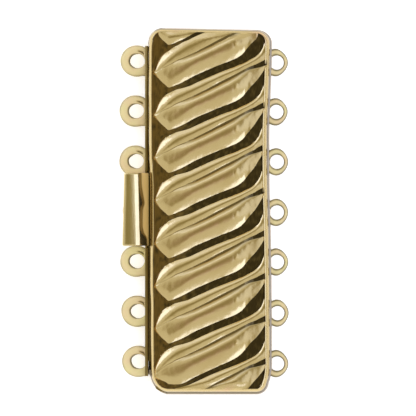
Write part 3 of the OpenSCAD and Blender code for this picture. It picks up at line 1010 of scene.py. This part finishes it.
curl = bend((FOLD_X, FOLD_Z), CURL_RADIUS, 0, 78, 6)
leaf_path = curl + [(x, leaf_z(x)) for x in (4.4, 2.0, 0.0, -2.0, -4.0, -5.29)]
LEAF_HALF = 14.98
bm = bmesh.new()
strip(bm, leaf_path, [LEAF_HALF] * len(leaf_path), 0.0, LEAF_T)
bmesh.ops.recalc_face_normals(bm, faces=bm.faces)
leaf = finish_piece("leaf_strip", bm, "lever", sheet_gold, sharp_deg=45)

# %% [markdown]
# The thumb piece is the same strip, seen from above as bands: the neck low in the mouth, painted a warm
# colour that stands for the light in the mouth's shade, the wall that climbs from it, painted dark as
# shade, a bright shoulder, and the plate that lies almost level. The wall's foot wavers, because the bend
# was made by hand.

# %% Neck and thumb plate
THUMB_LOW, THUMB_HIGH = -3.47, 3.80
THUMB_STEPS = 30
NECK_Z = leaf_z(-6.3) + LEAF_T / 2
# share of the way up the piece, x of the wall's foot there
NECK_FOOT = smooth_curve(
    [0.0, 0.1, 0.2, 0.3, 0.5, 0.58, 0.7, 0.85, 1.0],
    [-6.22, -6.26, -6.6, -6.7, -6.66, -6.5, -6.62, -6.78, -6.8],
)
WALL_FOOT_Z = NECK_Z + 0.14
WALL_TOP_X, WALL_TOP_Z = (-6.87, -7.04), 3.08
# the painted shade of the mouth ends here
SHADOW_X = -6.07
# from the top of the wall to the free edge: how far left, how far up
PLATE_RUN = [
    (0.02, 0.04), (0.06, 0.075), (0.12, 0.112), (0.22, 0.173), (0.32, 0.234), (0.42, 0.295),
    (0.47, 0.32), (0.51, 0.332), (0.58, 0.346), (0.7, 0.366), (0.9, 0.393), (1.1, 0.41),
    (1.25, 0.415), (1.4, 0.41), (1.52, 0.385), (1.6, 0.34), (1.65, 0.27), (1.67, 0.17),
]
# the plate beyond the shoulder is wider at the piece's lower end than at its upper one
SHOULDER_END = 0.47
PLATE_STRETCH = (1.11, 0.81)


def thumb_section(share):
    """(x, z, shade, warmth) along the upper face at one place between the piece's lower and upper end."""
    foot = NECK_FOOT(share)
    top_x = WALL_TOP_X[0] + (WALL_TOP_X[1] - WALL_TOP_X[0]) * share
    # the sheet inside the mouth is painted dark as shade; the neck is painted warm for the light in the
    # mouth's shade, and its edge and the wall are painted dark as shade
    points = [(x, leaf_z(x) + LEAF_T / 2, 1.0, 0.0) for x in (2.0, -2.0, -5.0, -5.7, SHADOW_X + 0.04)]
    points += [(SHADOW_X - 0.04, NECK_Z, 0.2, 1.0), ((SHADOW_X + foot) / 2, NECK_Z + 0.01, 0.0, 1.0)]
    points += [(foot + 0.08, NECK_Z + 0.02, 0.0, 1.0), (foot, NECK_Z + 0.06, 0.4, 1.0)]
    points.append((foot - 0.03, WALL_FOOT_Z, 0.8, 0.4))
    for t in (0.4, 0.75, 0.96):
        z = WALL_FOOT_Z + (WALL_TOP_Z - WALL_FOOT_Z) * t
        points.append((foot + (top_x - foot) * t, z, 0.8, 0.3))
    stretch = PLATE_STRETCH[0] + (PLATE_STRETCH[1] - PLATE_STRETCH[0]) * share
    for left, up in PLATE_RUN:
        left += max(left - SHOULDER_END, 0.0) * (stretch - 1)
        points.append((top_x - left, WALL_TOP_Z + up, 0.0, 0.0))
    return points


bm = bmesh.new()
levels, shades, warmths = [], [], []
# share of the way up the piece, how far both faces draw in: the ends are rounded
stations = [(0.0, 0.35), (0.004, 0.15), (0.012, 0.0)]
stations += [(0.03 + 0.94 * i / THUMB_STEPS, 0.0) for i in range(THUMB_STEPS + 1)]
stations += [(0.988, 0.0), (0.996, 0.15), (1.0, 0.35)]
for share, sunk in stations:
    points = thumb_section(share)
    upper, lower = [], []
    for i, (x, z, shade, warmth) in enumerate(points):
        a, b = points[max(i - 1, 0)], points[min(i + 1, len(points) - 1)]
        length = math.hypot(b[0] - a[0], b[1] - a[1])
        down = ((a[1] - b[1]) / length, (b[0] - a[0]) / length)
        for side, depth in ((upper, sunk), (lower, 1 - sunk)):
            side.append((x + down[0] * depth * LEAF_T, z + down[1] * depth * LEAF_T, shade, warmth))
    around = upper + lower[::-1]
    y = THUMB_LOW + (THUMB_HIGH - THUMB_LOW) * share
    levels.append([Vector((x, y, z)) for x, z, _, _ in around])
    shades.append([shade for _, _, shade, _ in around])
    warmths.append([warmth for _, _, _, warmth in around])
skin(bm, levels, closed=False, tints={"painted_shade": shades, "warm": warmths})
bmesh.ops.recalc_face_normals(bm, faces=bm.faces)
finish_piece("thumb_piece", bm, "lever", sheet_gold, sharp_deg=45)
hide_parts("spring_leaf")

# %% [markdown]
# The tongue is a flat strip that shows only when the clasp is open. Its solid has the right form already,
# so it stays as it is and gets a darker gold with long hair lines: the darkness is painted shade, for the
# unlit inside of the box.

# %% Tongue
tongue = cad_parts["tongue"]
tongue.data.materials.clear()
tongue.data.materials.append(tongue_gold)

# %% [markdown]
# ## Table and light
#
# The clasp lies on a white light table, which takes nearly all shadow away. Soft boxes stand low
# round it, and the camera's own dark stand hangs overhead: flat gold mirrors that stand and goes dark,
# and every sloping face mirrors a soft box and goes bright. A fill from above lights the matt loops and
# the neck, and is kept out of the mirror image.

# %% Light table
TABLE_GLOW = 0.48
bpy.ops.mesh.primitive_plane_add(size=3.0, location=(0, 0, -0.00005))
table = bpy.context.active_object
table.name = "light_table"
white = bpy.data.materials.new("white_acrylic")
white.use_nodes = True
white_nodes, white_links = white.node_tree.nodes, white.node_tree.links
acrylic = white_nodes["Principled BSDF"]
acrylic.inputs["Roughness"].default_value = 0.8
acrylic.inputs["Emission Strength"].default_value = TABLE_GLOW
acrylic.inputs["Emission Color"].default_value = (1, 1, 1, 1)
haze = white_nodes.new("ShaderNodeTexNoise")
haze.inputs["Scale"].default_value = 3.0
haze_tone = white_nodes.new("ShaderNodeMapRange")
haze_tone.inputs["To Min"].default_value = 0.9
haze_tone.inputs["To Max"].default_value = 0.93
white_links.new(haze.outputs["Fac"], haze_tone.inputs["Value"])
white_links.new(haze_tone.outputs["Result"], acrylic.inputs["Base Color"])
table.data.materials.append(white)


# %% Soft boxes
def soft_box(name, azimuth, elevation, distance, width, height, radiance, colour=(0.75, 0.95, 1.9)):
    """A flat light that faces the clasp. Azimuth 0 is to the right and 90 at the top of the picture."""
    data = bpy.data.lights.new(name, "AREA")
    data.shape = "RECTANGLE"
    data.size, data.size_y = width, height
    data.energy = radiance * math.pi * width * height
    data.color = colour
    light = bpy.data.objects.new(name, data)
    a, e = math.radians(azimuth), math.radians(elevation)
    light.location = (
        distance * math.cos(e) * math.cos(a),
        distance * math.cos(e) * math.sin(a),
        distance * math.sin(e),
    )
    light.rotation_euler = (-light.location).to_track_quat("-Z", "Y").to_euler()
    bpy.context.scene.collection.objects.link(light)
    return light


SOFT_BOXES = [
    # name, azimuth, elevation, distance, width, height, radiance
    ("box_upper_left", 147, 25, 0.9, 0.5, 0.45, 1.0),
    ("box_top", 112, 38, 0.9, 0.5, 0.4, 0.3),
    ("box_lower_right", -45, 25, 0.9, 0.9, 0.42, 1.0),
    ("box_right", 5, 50, 0.9, 0.7, 0.7, 0.2),
    ("box_right_low", 3, 29, 0.9, 0.5, 0.24, 0.9),
]
for placed in SOFT_BOXES:
    soft_box(*placed)
# the light from above, for matt surfaces only
fill = soft_box("fill_overhead", 0, 90, 0.9, 0.7, 0.7, 1.25, (1.0, 0.98, 0.92))
fill.visible_glossy = False

# %% Room round the table
room = bpy.data.worlds.new("room")
room.use_nodes = True
bpy.context.scene.world = room
room_nodes, room_links = room.node_tree.nodes, room.node_tree.links
backdrop = room_nodes["Background"]
way = room_nodes.new("ShaderNodeTexCoord")
split = room_nodes.new("ShaderNodeSeparateXYZ")
room_links.new(way.outputs["Generated"], split.inputs["Vector"])
shade = room_nodes.new("ShaderNodeValToRGB")
ramp = shade.color_ramp
ramp.interpolation = "EASE"
# height of the direction, its light: white low down, dim and warm where the stand hangs
ROOM = [
    (0.0, (0.70, 0.70, 0.69)), (0.3, (0.69, 0.69, 0.68)), (0.6, (0.67, 0.67, 0.65)),
    (0.84, (0.65, 0.65, 0.62)), (0.91, (0.59, 0.58, 0.54)), (0.955, (0.40, 0.37, 0.27)),
    (1.0, (0.29, 0.26, 0.15)),
]
ramp.elements[0].position, ramp.elements[1].position = ROOM[0][0], ROOM[-1][0]
ramp.elements[0].color, ramp.elements[1].color = (*ROOM[0][1], 1), (*ROOM[-1][1], 1)
for place, tone in ROOM[1:-1]:
    ramp.elements.new(place).color = (*tone, 1)
room_links.new(split.outputs["Z"], shade.inputs["Fac"])
room_links.new(shade.outputs["Color"], backdrop.inputs["Color"])
backdrop.inputs["Strength"].default_value = 1.0
bpy.context.scene.view_settings.view_transform = "Standard"
